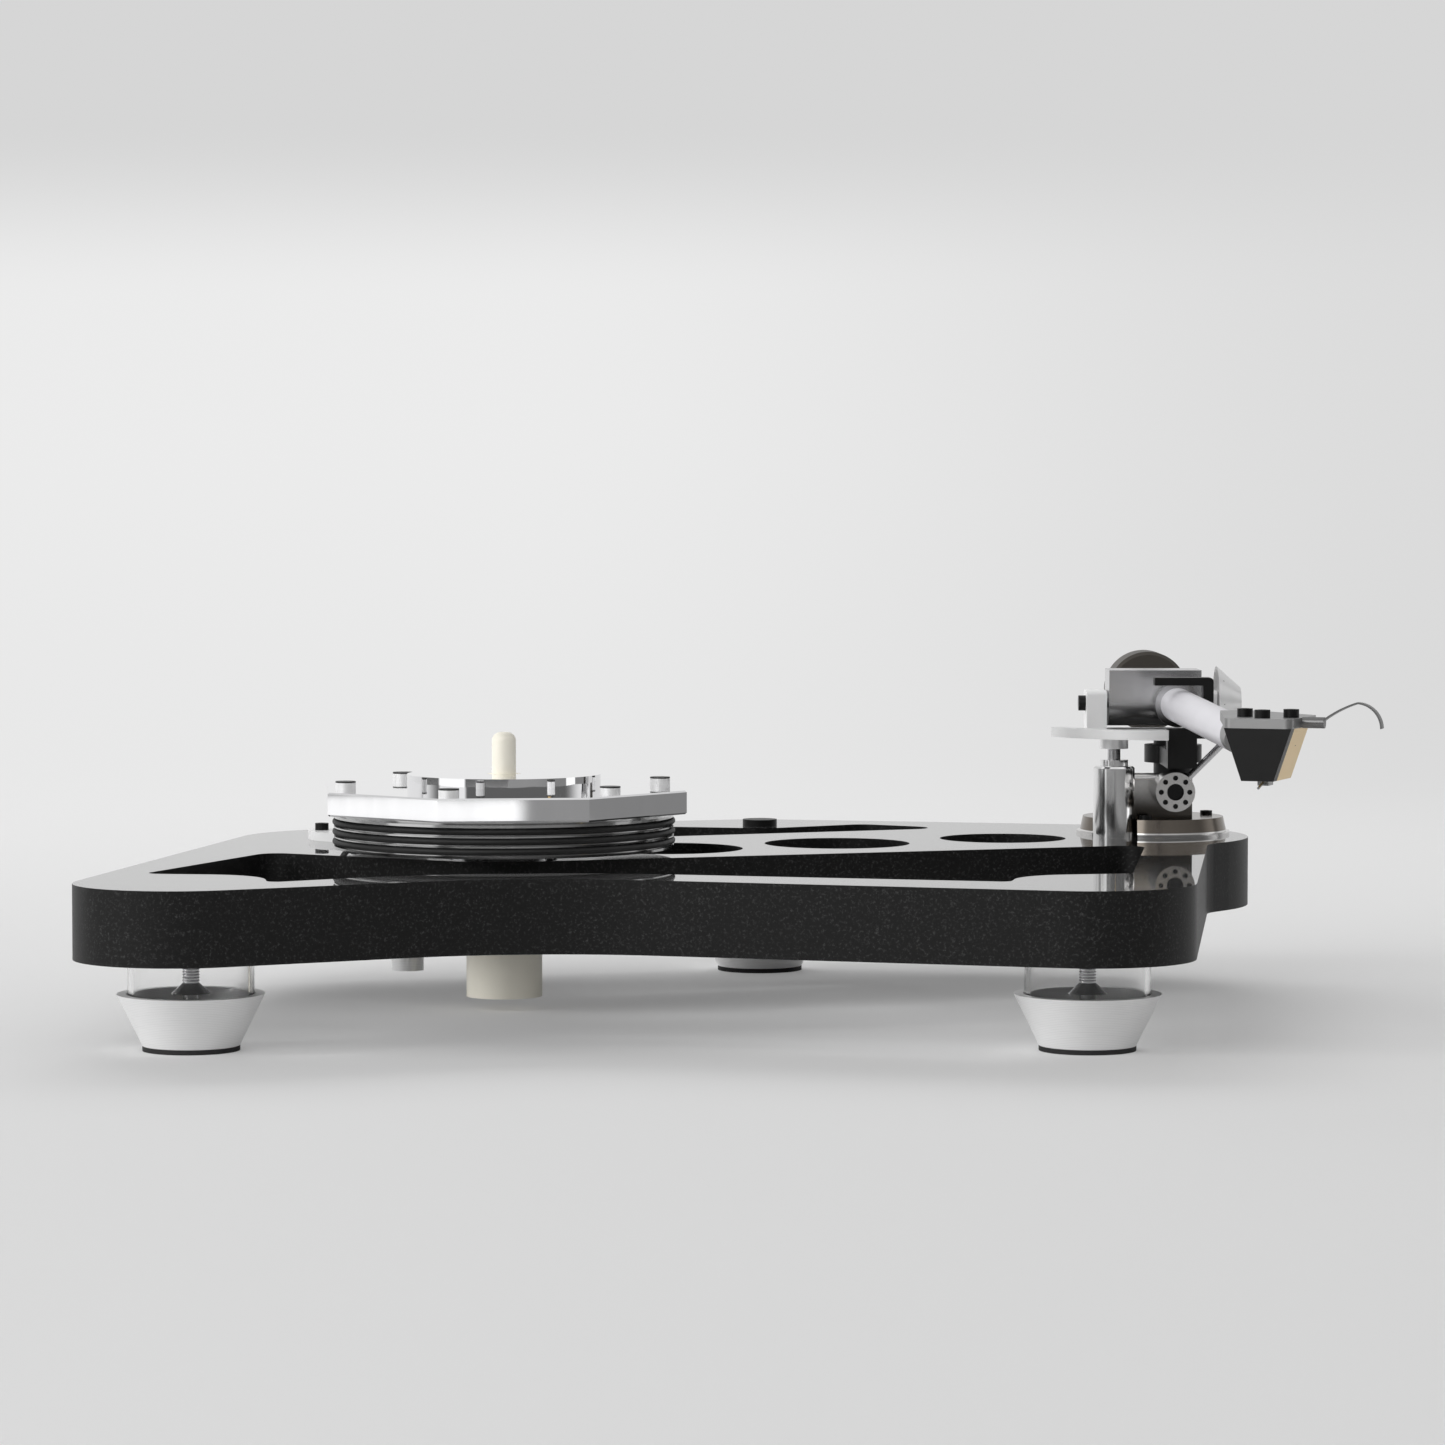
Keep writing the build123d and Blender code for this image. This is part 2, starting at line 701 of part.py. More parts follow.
def lift_parts():
    """Lift column, its piston and the curved rail that carries the arm."""
    x, y = lift_column_place
    piston_bottom = lift_column_top - lift_piston_insertion
    column = rod(x, y, lift_column_radius, plinth_top, lift_column_top)
    column = chamfer(column.edges().sort_by(Axis.Z)[-1], lift_column_chamfer)
    column += rod(x, y, lift_collar_radius, lift_column_top, lift_column_top + lift_collar_height)
    collar_top = lift_column_top + lift_collar_height
    bore_bottom = plinth_top + lift_column_floor
    column -= rod(x, y, lift_piston_radius + running_gap, bore_bottom, collar_top + past_face)
    piston = rod(x, y, lift_piston_radius, piston_bottom, rail_z)
    outer = lift_rail_inner + lift_rail_width
    sweep_angle = lift_rail_to - lift_rail_from
    rail_ring = Circle(outer) - Circle(lift_rail_inner)
    wedge_reach = 2 * outer
    wedge = make_face(Polyline(
        (0, 0),
        polar((0, 0), wedge_reach, lift_rail_from),
        polar((0, 0), wedge_reach, lift_rail_from + sweep_angle / 2),
        polar((0, 0), wedge_reach, lift_rail_to),
        close=True,
    ))
    rail = Pos(*pivot, rail_z) * extrude(rail_ring & wedge, lift_rail_thickness)
    column_angle = degrees(atan2(y - pivot[1], x - pivot[0]))
    column_reach = hypot(x - pivot[0], y - pivot[1])
    link_start = column_reach - lift_link_width / 2
    link_end = lift_rail_inner + lift_rail_width / 2
    link = Pos((link_start + link_end) / 2, 0, lift_link_thickness / 2)
    link = link * Box(link_end - link_start, lift_link_width, lift_link_thickness)
    rail += Pos(*pivot, rail_z) * Rot(0, 0, column_angle) * link
    boss_bottom = rail_z - lift_boss_height
    rail += rod(x, y, lift_boss_radius, boss_bottom, rail_z)
    rail -= rod(x, y, lift_piston_radius + seat_gap, boss_bottom - past_face, rail_z)
    return {"lift_column": column, "lift_piston": piston, "lift_platform": rail}


def cue_parts():
    """Cue housing on the arm base, with the barrel and lever that turn in it."""
    x = cue_axis_x
    housing_back = cue_housing_front + cue_housing_depth
    housing_left = lift_column_place[0] + lift_column_radius
    low = (housing_left, cue_housing_front, base_top)
    high = (x + cue_housing_side, housing_back, cue_axis_z + cue_housing_rise)
    housing = box(low, high)
    housing = fillet(housing.edges().filter_by(Axis.X).group_by(Axis.Z)[-1], cue_housing_fillet)
    bore_front = cue_housing_front - past_face
    bore_back = housing_back + past_face
    housing -= lying_y(bore_front, bore_back, cue_journal_radius + running_gap, x, cue_axis_z)
    housing -= rod(*lift_column_place, lift_column_radius + seat_gap, base_top, lift_column_top)
    barrel = lying_y(cue_barrel_front, cue_barrel_back, cue_barrel_radius, x, cue_axis_z)
    recess_front = cue_barrel_front - past_face
    recess_back = cue_barrel_front + cue_recess_depth
    barrel -= lying_y(recess_front, recess_back, cue_recess_radius, x, cue_axis_z)
    hole_back = cue_barrel_front + cue_hole_depth
    for index in range(cue_hole_count):
        hole_x, hole_z = polar((x, cue_axis_z), cue_hole_ring, index * 360 / cue_hole_count)
        barrel -= lying_y(recess_front, hole_back, cue_hole_radius, hole_x, hole_z)
    barrel += lying_y(cue_barrel_back, housing_back, cue_journal_radius, x, cue_axis_z)
    lever_y = cue_barrel_front + lever_setback
    socket_start = cue_barrel_radius - lever_socket_depth
    stem = rod(0, 0, lever_radius, socket_start, lever_length)
    knob = rod(0, 0, lever_tip_radius, lever_length - lever_tip_length, lever_length)
    socket = rod(0, 0, lever_radius + seat_gap, socket_start, cue_barrel_radius + past_face)
    aim = Pos(x, lever_y, cue_axis_z) * Rot(0, 90 - lever_angle, 0)
    return {
        "cue_housing": housing,
        "cue_barrel": barrel - aim * socket,
        "cue_lever": aim * (stem + fillet(knob.edges().sort_by(Axis.Z)[-1], lever_tip_radius / 2)),
    }


def arm_rest():
    """Rest that is clamped round the pillar and hooks over the tube, open towards the spindle."""
    x, y = pivot
    top = pillar_top - rest_collar_drop
    low = top - rest_collar_height
    front = y - rest_reach - rest_width / 2
    back = y - rest_reach + rest_width / 2
    post_left = x + rest_post_left
    post_right = post_left + rest_post_width
    arm_left = x + rest_arm_left
    arm_right = x + rest_arm_right
    seat_top = pivot_z - rest_seat_drop
    seat_low = seat_top - rest_seat_thickness
    hook_low = pivot_z + rest_hook_rise
    hook_top = hook_low + rest_hook_thickness
    rest = rod(x, y, rest_collar_radius, low, top)
    rest += box((arm_left, front, low), (arm_right, y, top))
    rest += box((arm_left, front, low), (arm_right, back, seat_top))
    rest += box((arm_left, front, seat_low), (post_right, back, seat_top))
    rest += box((post_left, front, seat_low), (post_right, back, hook_low))
    rest += box((x - rest_hook_reach, front, hook_low), (post_right, back, hook_top))
    crest = rest.edges().filter_by(Axis.Y).filter_by(lambda edge: edge.center().Z > hook_low)
    rest = fillet(crest.sort_by(Axis.X)[-1], rest_hook_thickness / 2)
    return rest - rod(x, y, pillar_radius + seat_gap, low - past_face, top + past_face)


def yoke_parts():
    """Yoke that turns on the pillar, its pin, the left bearing cap and the force dial."""
    half = yoke_depth / 2
    plate_top = block_bottom - yoke_plate_gap
    plate_low = plate_top - yoke_plate_thickness
    left = left_cheek_inner - left_cheek_width
    right = right_cheek_inner + right_cheek_width
    yoke = box((left, -half, plate_low), (right, half, plate_top))
    for start, end in ((left, left_cheek_inner), (right_cheek_inner, right)):
        cheek = box((start, -half, plate_low), (end, half, cheek_rise))
        tops = cheek.edges().filter_by(Axis.X).group_by(Axis.Z)[-1]
        yoke += fillet(tops, cheek_fillet)
    yoke -= lying_x(left - past_face, right + past_face, axle_radius + running_gap)
    yoke -= lying_x(right - dial_pin_length, right + past_face, dial_pin_radius + running_gap)
    pin_top = plate_low
    pin_bottom = pillar_top - pivot_z - yoke_pin_depth
    pin = rod(0, 0, yoke_pin_radius, pin_bottom, pin_top)
    cap = lying_x(left - bearing_cap_height, left, bearing_cap_radius)
    dial_start = right + free_gap
    dial = Pos(dial_start + dial_length / 2, 0, 0) * Rot(0, 90, 0)
    dial = dial * Cone(dial_radius, dial_small_radius, dial_length)
    dial += lying_x(right - dial_pin_length + running_gap, dial_start, dial_pin_radius)
    return {
        "arm_yoke": at_pivot(yoke),
        "yoke_pin": at_pivot(pin),
        "yoke_bearing_cap": at_pivot(cap),
        "force_dial": at_pivot(dial),
    }


def head_outline():
    """Plan of the headshell, from the tube's end to its turned front."""
    inset = head_half_width - head_corner_radius
    ahead = head_ahead - head_corner_radius
    behind = head_behind - head_corner_radius
    turn = -radians(head_yaw)
    pegs = [(0, -tube_end - head_root_radius / 2, head_root_radius)]
    for side, forward in ((-inset, ahead), (inset, ahead), (inset, -behind)):
        x = head_centre[0] + side * cos(turn) + forward * sin(turn)
        y = head_centre[1] + side * sin(turn) - forward * cos(turn)
        pegs.append((x, y, head_corner_radius))
    return make_face(string_round(pegs))


def head_neck():
    """Round end of the headshell under its plate, cut off at a slant."""
    start = -tube_end
    end = start - head_neck_length
    under = head_rise - head_thickness / 2
    below = -tube_tip_radius - past_face
    slant = make_face(Polyline(
        (start - head_neck_heel, below),
        (end, under),
        (end - past_face, under),
        (end - past_face, below),
        close=True,
    ))
    cut = extrude(Plane.YZ * slant, 2 * tube_tip_radius, both=True)
    return lying_y(end, start, tube_tip_radius) - cut


def cartridge_block(front, length):
    """Length of the cartridge's tapered section, from its front face backwards."""
    top = -head_thickness / 2
    half_top = cartridge_top_width / 2
    half_foot = cartridge_foot_width / 2
    section = make_face(Polyline(
        (-half_top, top),
        (half_top, top),
        (half_foot, top - cartridge_height),
        (-half_foot, top - cartridge_height),
        close=True,
    ))
    return Pos(0, front + length, 0) * extrude(Plane.XZ * section, length)


def arm_parts():
    """Bearing block, axle, tube, headshell, finger lift and cartridge."""
    half = block_depth / 2
    block = box((block_left, -half, block_bottom), (block_right, half, block_top))
    block = fillet(block.edges().filter_by(Axis.X).group_by(Axis.Z)[0], block_fillet)
    block -= lying_x(block_left - past_face, block_right + past_face, axle_radius + seat_gap)
    axle_left = left_cheek_inner - left_cheek_width + axle_inset
    axle_right = right_cheek_inner + right_cheek_width - dial_pin_length - axle_inset
    axle = lying_x(axle_left, axle_right, axle_radius)
    block += lying_y(-half - tube_collar_length, block_fillet - half, tube_collar_radius)
    root = half + tube_collar_length
    length = tube_end - root
    tube = Cone(tube_root_radius, tube_tip_radius, length)
    tube -= Cone(tube_root_radius - tube_wall, tube_tip_radius - tube_wall, length)
    tube = Pos(0, -(root + length / 2), 0) * Rot(90, 0, 0) * tube
    plate = Pos(0, 0, head_rise - head_thickness / 2) * extrude(head_outline(), head_thickness)
    plate -= box((-tube_end, -tube_end, -tube_end), (tube_end, 0, tube_end))
    head = at_pivot(plate + head_neck())
    front = -head_ahead
    cover = cartridge_block(front, cartridge_front_length)
    body = cartridge_block(front + cartridge_front_length, cartridge_body_length)
    bolt_top = head_thickness / 2
    bolt_low = -head_thickness / 2 - bolt_depth
    bolts = Part()
    front_place = (0, -front_bolt_lead)
    for place in ((-bolt_spacing / 2, 0), (bolt_spacing / 2, 0), front_place):
        hole = rod(*place, bolt_shank_radius + seat_gap, bolt_low, bolt_top + past_face)
        head -= on_head(hole)
        body -= hole
        cover -= hole
        head_top = bolt_top + bolt_head_height
        bolts += socket_screw(*place, bolt_shank_radius, bolt_head_radius, bolt_low, bolt_top, head_top)
    foot = -head_thickness / 2 - cartridge_height
    wide, deep, tall = stylus_holder
    holder_y = front + cartridge_front_length + deep
    stylus = box((-wide / 2, holder_y - deep / 2, foot - tall), (wide / 2, holder_y + deep / 2, foot))
    needle = Pos(0, holder_y - deep / 2, foot - tall / 2) * Rot(90, 0, 0)
    droop = degrees(asin(cantilever_drop / cantilever_length))
    needle = needle * Rot(droop, 0, 0) * Pos(0, 0, cantilever_length / 2 - past_face)
    stylus += needle * Cylinder(cantilever_radius, cantilever_length)
    stub_rear = lying_y(half, stub_end, stub_radius, weight_side, weight_rise)
    return {
        "bearing_block": at_pivot(block),
        "pitch_axle": at_pivot(axle),
        "arm_tube": at_pivot(tube),
        "headshell": head,
        "finger_lift": on_head(finger_lift()),
        "cartridge_front": on_head(cover),
        "cartridge_body": on_head(body),
        "cartridge_bolts": on_head(bolts),
        "stylus": on_head(stylus),
        "counterweight_stub": at_pivot(stub_rear),
    }


def finger_lift():
    """Stub on the headshell's outer side that carries a thin blade curved up and over."""
    side = head_half_width
    start = side + lift_stub_length
    stub = lying_x(side, start, lift_stub_radius)
    peak = (start + blade_peak[0], blade_peak[1])
    end = (start + blade_end[0], blade_end[1])
    rise = ThreePointArc((start - past_face, 0), (start + blade_rise[0], blade_rise[1]), peak)
    fall = ThreePointArc(peak, (start + blade_fall[0], blade_fall[1]), end)
    path = Plane.XZ * Wire([rise, fall])
    section = Plane(path.position_at(0), x_dir=(0, 1, 0), z_dir=path.tangent_at(0))
    return stub + sweep(section * Rectangle(blade_width, blade_thickness), path=path)


def counterweight_parts():
    """Counterweight that slides on the stub, with its locking screw."""
    low = weight_offset - weight_length / 2
    high = weight_offset + weight_length / 2
    weight = lying_y(low, high, weight_radius)
    weight = chamfer(weight.edges().filter_by(GeomType.CIRCLE), weight_chamfer)
    weight -= lying_y(low - past_face, high + past_face, stub_radius + running_gap)
    hole_low = -weight_radius - past_face
    hole_high = -stub_radius - running_gap
    weight -= rod(0, weight_offset, weight_screw_radius + seat_gap, hole_low, hole_high)
    screw_low = -weight_radius + weight_screw_inset
    screw = rod(0, weight_offset, weight_screw_radius, screw_low, hole_high - running_gap)
    aside = Pos(weight_side, 0, weight_rise)
    return {"counterweight": at_pivot(aside * weight), "counterweight_screw": at_pivot(aside * screw)}


def all_parts():
    """Every piece by its node name, in the spindle's frame."""
    parts = {
        "bottom_skin": plinth_layer(plinth_bottom, plinth_bottom + skin_thickness),
        "plinth_core": plinth_layer(plinth_bottom + skin_thickness, plinth_top - skin_thickness),
        "top_skin": plinth_layer(plinth_top - skin_thickness, plinth_top),
    }
    for name, place in feet.items():
        for piece, shape in foot_parts(place).items():
            parts[f"{name}_foot_{piece}"] = shape
    parts["rear_foot_cap"] = rod(*rear_foot, rear_cap_radius, plinth_top, plinth_top + rear_cap_height)
    parts.update(bearing_parts())
    parts.update(sub_platter_parts())
    parts.update(drive_parts())
    parts["power_socket"] = power_socket()
    parts.update(arm_base_parts())
    parts.update(lift_parts())
    parts.update(cue_parts())
    parts["arm_rest"] = arm_rest()
    parts.update(yoke_parts())
    parts.update(arm_parts())
    parts.update(counterweight_parts())
    return parts


pieces = all_parts()
boxes = [piece.bounding_box() for piece in pieces.values()]
centre_x = (min(one.min.X for one in boxes) + max(one.max.X for one in boxes)) / 2
centre_y = (min(one.min.Y for one in boxes) + max(one.max.Y for one in boxes)) / 2
os.makedirs("parts", exist_ok=True)
for name, piece in pieces.items():
    export_step(Pos(-centre_x, -centre_y, 0) * piece, f"parts/{name}.step")
print("nodes", len(pieces))
print("spindle at", -centre_x, -centre_y)
print("pivot at", pivot[0] - centre_x, pivot[1] - centre_y, pivot_z)
print("motor at", motor_place[0] - centre_x, motor_place[1] - centre_y)
print("cue axis at", cue_axis_x - centre_x, cue_barrel_front - centre_y, cue_axis_z)
print("lift at", lift_column_place[0] - centre_x, lift_column_place[1] - centre_y)
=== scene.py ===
"""Looks of a skeletal belt-drive turntable with its platter lifted off."""
import json
import math

import bmesh
import bpy
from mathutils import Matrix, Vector


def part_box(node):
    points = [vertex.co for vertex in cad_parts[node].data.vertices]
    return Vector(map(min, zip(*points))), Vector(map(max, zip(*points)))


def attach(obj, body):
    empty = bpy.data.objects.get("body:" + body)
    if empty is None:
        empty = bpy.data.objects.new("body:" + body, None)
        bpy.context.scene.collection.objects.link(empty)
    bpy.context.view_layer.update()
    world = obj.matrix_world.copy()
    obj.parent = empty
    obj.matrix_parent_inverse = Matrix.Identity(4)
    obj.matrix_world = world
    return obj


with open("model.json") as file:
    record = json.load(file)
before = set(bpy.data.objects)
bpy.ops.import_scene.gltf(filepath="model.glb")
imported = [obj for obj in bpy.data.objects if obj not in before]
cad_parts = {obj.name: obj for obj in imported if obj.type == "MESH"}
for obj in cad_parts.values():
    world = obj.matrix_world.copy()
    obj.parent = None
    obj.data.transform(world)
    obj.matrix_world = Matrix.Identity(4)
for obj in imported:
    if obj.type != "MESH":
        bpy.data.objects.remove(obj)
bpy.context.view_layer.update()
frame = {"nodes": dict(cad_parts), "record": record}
nodes = frame["nodes"]
MM = 0.001


def middle(node):
    """Centre of a solid's box."""
    low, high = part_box(node)
    return (low + high) / 2


SPINDLE = middle("record_spindle")


# Finishes


class Signal:
    """A socket of a finish's node tree that takes part in arithmetic."""

    def __init__(self, finish, socket):
        self.finish = finish
        self.socket = socket

    def sum_of(self, operation, first, second):
        return self.finish.node("ShaderNodeMath", {"operation": operation}, {0: first, 1: second})

    def __add__(self, other):
        return self.sum_of("ADD", self, other)

    def __radd__(self, other):
        return self.sum_of("ADD", other, self)

    def __sub__(self, other):
        return self.sum_of("SUBTRACT", self, other)

    def __rsub__(self, other):
        return self.sum_of("SUBTRACT", other, self)

    def __mul__(self, other):
        return self.sum_of("MULTIPLY", self, other)

    def __rmul__(self, other):
        return self.sum_of("MULTIPLY", other, self)

    def __truediv__(self, other):
        return self.sum_of("DIVIDE", self, other)

    def __pow__(self, other):
        return self.sum_of("POWER", self, other)


class Net:
    """A node tree and the ways to add to it."""

    def __init__(self, tree):
        self.tree = tree

    def node(self, kind, settings=None, sockets=None, output=0):
        """Adds a node, sets it up and gives one of its outputs."""
        made = self.tree.nodes.new(kind)
        for key, value in (settings or {}).items():
            setattr(made, key, value)
        for key, value in (sockets or {}).items():
            self.feed(made.inputs[key], value)
        return Signal(self, made.outputs[output])

    def feed(self, socket, value):
        if isinstance(value, Signal):
            self.tree.links.new(value.socket, socket)
        else:
            socket.default_value = value

    def outputs(self, signal):
        """All outputs of the node that a signal comes from."""
        return [Signal(self, socket) for socket in signal.socket.node.outputs]

    def between(self, signal, low, high):
        """Share from 0 to 1 of a signal between two values, with soft ends."""
        sockets = {0: signal, 1: low, 2: high}
        return self.node("ShaderNodeMapRange", {"interpolation_type": "SMOOTHSTEP"}, sockets)

    def band(self, signal, low, high, soft):
        """1 between two values and 0 outside them."""
        risen = self.between(signal, low - soft, low + soft)
        return risen * (1 - self.between(signal, high - soft, high + soft))


class Finish(Net):
    """One surface finish: a shader, its constants and what varies over the surface."""

    def __init__(self, name, **constants):
        self.material = bpy.data.materials.new(name)
        self.material.use_nodes = True
        super().__init__(self.material.node_tree)
        self.shader = self.tree.nodes["Principled BSDF"]
        for socket, value in constants.items():
            self.shader.inputs[socket.replace("_", " ")].default_value = value

    def set(self, socket, value):
        """Feeds one of the shader's sockets."""
        self.feed(self.shader.inputs[socket], value)

    def place(self):
        """Place on the object in metres."""
        return self.node("ShaderNodeTexCoord", output="Object")

    def parts(self):
        """The three numbers of the place."""
        return self.outputs(self.node("ShaderNodeSeparateXYZ", None, {0: self.place()}))

    def noise(self, size, detail=2.0, roughness=0.5, stretch=(1, 1, 1)):
        """Soft noise whose grains are about one size, in metres."""
        place = self.node("ShaderNodeMapping", None, {0: self.place(), "Scale": stretch})
        sockets = {"Vector": place, "Scale": 1 / size, "Detail": detail, "Roughness": roughness}
        return self.node("ShaderNodeTexNoise", None, sockets)

    def blend(self, share, first, second):
        """Mix of two colours."""
        share_in, first_in, second_in, colour_out = 0, 6, 7, 2
        sockets = {share_in: share, first_in: first, second_in: second}
        return self.node("ShaderNodeMix", {"data_type": "RGBA"}, sockets, colour_out)

    def wave(self, along, pitch):
        """Ripple from 0 to 1 along a signal, one per pitch."""
        turn = self.node("ShaderNodeMath", {"operation": "SINE"}, {0: along * (2 * math.pi / pitch)})
        return turn * 0.5 + 0.5

    def bump(self, height, depth, strength=1.0):
        """Relief of the surface."""
        sockets = {"Height": height, "Distance": depth, "Strength": strength}
        self.set("Normal", self.node("ShaderNodeBump", None, sockets))


def opaque(colour, level=1.0):
    """Colour at a level of brightness, with full alpha."""
    return (*[part * level for part in colour], 1.0)


def grey(level):
    return opaque((1, 1, 1), level)


def speckle(finish):
    """Fine pale flecks in the plinth's dark edge, and their colour."""
    fleck = finish.between(finish.noise(0.0008, 3.0, 0.7), 0.5, 0.76)
    cloud = finish.noise(0.012, 2.0)
    return fleck, finish.blend(fleck * (0.4 + cloud), grey(0.005), grey(0.05))


def speckled_edge():
    """Dark pressed core with fine pale flecks."""
    finish = Finish("speckled_core", Specular_IOR_Level=0.25)
    fleck, colour = speckle(finish)
    finish.set("Base Color", colour)
    finish.set("Roughness", 0.45 + 0.2 * fleck)
    finish.bump(fleck, 0.00006, 0.5)
    return finish


def gloss_laminate():
    """Black laminate under clear gloss, with the core's flecks on its cut edge."""
    finish = Finish("gloss_skin", Specular_IOR_Level=0.25, Coat_IOR=1.8, Coat_Roughness=0.02)
    facing = finish.node("ShaderNodeNewGeometry", output="Normal")
    up = finish.outputs(finish.node("ShaderNodeSeparateXYZ", None, {0: facing}))[2]
    flat = finish.between(up * up, 0.2, 0.6)
    fleck, edge = speckle(finish)
    finish.set("Base Color", finish.blend(flat, edge, grey(0.006)))
    finish.set("Roughness", 0.45 + 0.2 * fleck)
    finish.set("Coat Weight", flat)
    return finish


def polished_metal(name, colour, roughness, relief=0.00002, metallic=1.0):
    """Bright metal with the faint marks of polishing."""
    finish = Finish(name, Metallic=metallic)
    smear = finish.noise(0.006, 3.0, 0.6, (1, 1, 0.3))
    finish.set("Base Color", finish.blend(smear * 0.5, opaque(colour), opaque(colour, 0.86)))
    finish.set("Roughness", roughness * (0.7 + 0.6 * smear))
    finish.bump(smear, relief, 0.3)
    return finish


def wheel_metal(name, node, bright_depth):
    """Mirror-bright metal down to a depth below a solid's top; under it rougher, and darkened with painted
    shade.
    """
    finish = Finish(name, Metallic=1.0)
    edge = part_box(node)[1].z - bright_depth
    shaded_rougher_below = 1 - finish.between(finish.parts()[2], edge - 0.2 * MM, edge)
    smear = finish.noise(0.006, 3.0, 0.6, (1, 1, 0.3))
    bright = finish.blend(smear * 0.5, opaque((0.92, 0.92, 0.93)), opaque((0.79, 0.79, 0.8)))
    # Painted shade: below the edge the colour goes to a flat grey.
    finish.set("Base Color", finish.blend(shaded_rougher_below, bright, grey(0.5)))
    finish.set("Roughness", 0.035 * (0.7 + 0.6 * smear) + 0.08 * shaded_rougher_below)
    finish.bump(smear, 0.0000005, 0.3)
    return finish


def split_metal(name, node, lower, upper, low_share, high_share, roughness=0.16):
    """Metal whose colour changes between two shares of a solid's height."""
    finish = Finish(name, Metallic=1.0)
    low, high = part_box(node)
    tall = high.z - low.z
    height = finish.parts()[2]
    smear = finish.noise(0.005, 3.0, 0.6, (1, 1, 0.4))
    above = finish.between(height, low.z + low_share * tall, low.z + high_share * tall)
    colour = finish.blend(above, opaque(lower), opaque(upper))
    finish.set("Base Color", finish.blend(smear * 0.25, colour, grey(0.02)))
    finish.set("Roughness", roughness + 0.06 * smear)
    finish.bump(smear, 0.000004, 0.3)
    return finish


def capped_pad(name, node, cap):
    """Pale satin pads with a thin dark top."""
    finish = Finish(name, Metallic=0.3)
    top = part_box(node)[1].z
    dark = finish.between(finish.parts()[2], top - cap, top - 0.8 * cap)
    cloud = finish.noise(0.003, 2.0)
    pale = finish.blend(cloud, grey(0.93), grey(0.86))
    finish.set("Base Color", finish.blend(dark, pale, grey(0.03)))
    finish.set("Roughness", 0.3 + 0.2 * cloud)
    return finish


def turned_metal(name, colour, roughness, pitch):
    """Satin metal with fine lines round it, one above the other."""
    finish = Finish(name, Metallic=0.4)
    height = finish.parts()[2]
    lines = finish.wave(height, pitch) * finish.noise(0.0009, 2.0, 0.5, (0.15, 0.15, 3))
    finish.set("Base Color", finish.blend(lines, opaque(colour), opaque(colour, 0.85)))
    finish.set("Roughness", roughness + 0.15 * lines)
    finish.bump(lines, 0.00003, 0.5)
    return finish


def drilled_metal(name, node, colour):
    """Metal with painted shade inside what is drilled into its front face."""
    finish = Finish(name, Metallic=1.0)
    x, y, z = finish.parts()
    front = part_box(node)[0].y
    axis = middle(node)
    off_x = x - axis.x
    off_z = z - axis.z
    reach = (off_x * off_x + off_z * off_z) ** 0.5
    drilled = 5.5 * MM
    inside = 1 - finish.between(reach, drilled, drilled + 0.2 * MM)
    # Painted shade: surfaces recessed behind the front face, inside the drilled ring, are made near black.
    painted_recess_shade = finish.between(y, front + 0.2 * MM, front + 0.7 * MM) * inside
    smear = finish.noise(0.004, 3.0)
    finish.set("Base Color", finish.blend(painted_recess_shade, opaque(colour), grey(0.03)))
    finish.set("Roughness", 0.14 + 0.1 * smear)
    finish.bump(smear, 0.00001, 0.3)
    return finish


def plain_finish(name, colour, roughness, vary=0.15, grain=0.002, **constants):
    """Smooth moulded, painted or fired surface with a faint grain."""
    finish = Finish(name, **constants)
    cloud = finish.noise(grain * 8, 3.0)
    fine = finish.noise(grain, 2.0)
    finish.set("Base Color", finish.blend(cloud, opaque(colour), opaque(colour, 1 - vary)))
    finish.set("Roughness", roughness * (0.85 + 0.3 * fine))
    finish.bump(fine, grain * 0.01, 0.4)
    return finish


finishes = {
    "speckled_core": speckled_edge(),
    "gloss_skin": gloss_laminate(),
    "polished_aluminium": polished_metal("polished_aluminium", (0.92, 0.92, 0.93), 0.035, 0.0000005),
    "turned_aluminium": turned_metal("turned_aluminium", (0.92, 0.92, 0.92), 0.3, 0.0005),
    "pad_rubber": plain_finish("pad_rubber", (0.02, 0.02, 0.02), 0.8),
    "pale_pad": capped_pad("pale_pad", "platter_pads", 0.5 * MM),
    "clear_ring": plain_finish(
        "clear_ring", (0.98, 0.98, 0.98), 0.04, 0.02, Transmission_Weight=1.0, IOR=1.3
    ),
    "steel": polished_metal("steel", (0.56, 0.56, 0.57), 0.25),
    "ivory_ceramic": plain_finish("ivory_ceramic", (1.0, 0.96, 0.84), 0.3, 0.04, 0.0015),
    "bronze": polished_metal("bronze", (0.6, 0.42, 0.22), 0.3),
    "belt_rubber": plain_finish("belt_rubber", (0.012, 0.012, 0.012), 0.55),
    "black_metal": plain_finish("black_metal", (0.007, 0.007, 0.007), 0.38, Specular_IOR_Level=0.25),
    "base_metal": split_metal(
        "base_metal", "arm_base", (0.85, 0.84, 0.83), (0.2, 0.175, 0.15), 0.24, 0.27
    ),
    "arm_silver": polished_metal("arm_silver", (0.88, 0.88, 0.88), 0.34, metallic=0.6),
    "chrome": polished_metal("chrome", (0.88, 0.88, 0.88), 0.13, 0.000004),
    "lilac_tube": plain_finish("lilac_tube", (0.79, 0.78, 0.82), 0.35, 0.06, Metallic=0.3),
    "dark_weight": plain_finish("dark_weight", (0.062, 0.055, 0.046), 0.45, Metallic=0.3),
    "black_plastic": plain_finish("black_plastic", (0.008, 0.008, 0.008), 0.35, Specular_IOR_Level=0.3),
    "amber_body": plain_finish("amber_body", (0.85, 0.62, 0.3), 0.3, 0.12, Metallic=0.2),
    "stylus_metal": polished_metal("stylus_metal", (0.3, 0.3, 0.3), 0.3),
}
for subpart in frame["record"]["subparts"]:
    solid = nodes[subpart["node"]]
    solid.data.materials.clear()
    solid.data.materials.append(finishes[subpart["material_slot"]].material)
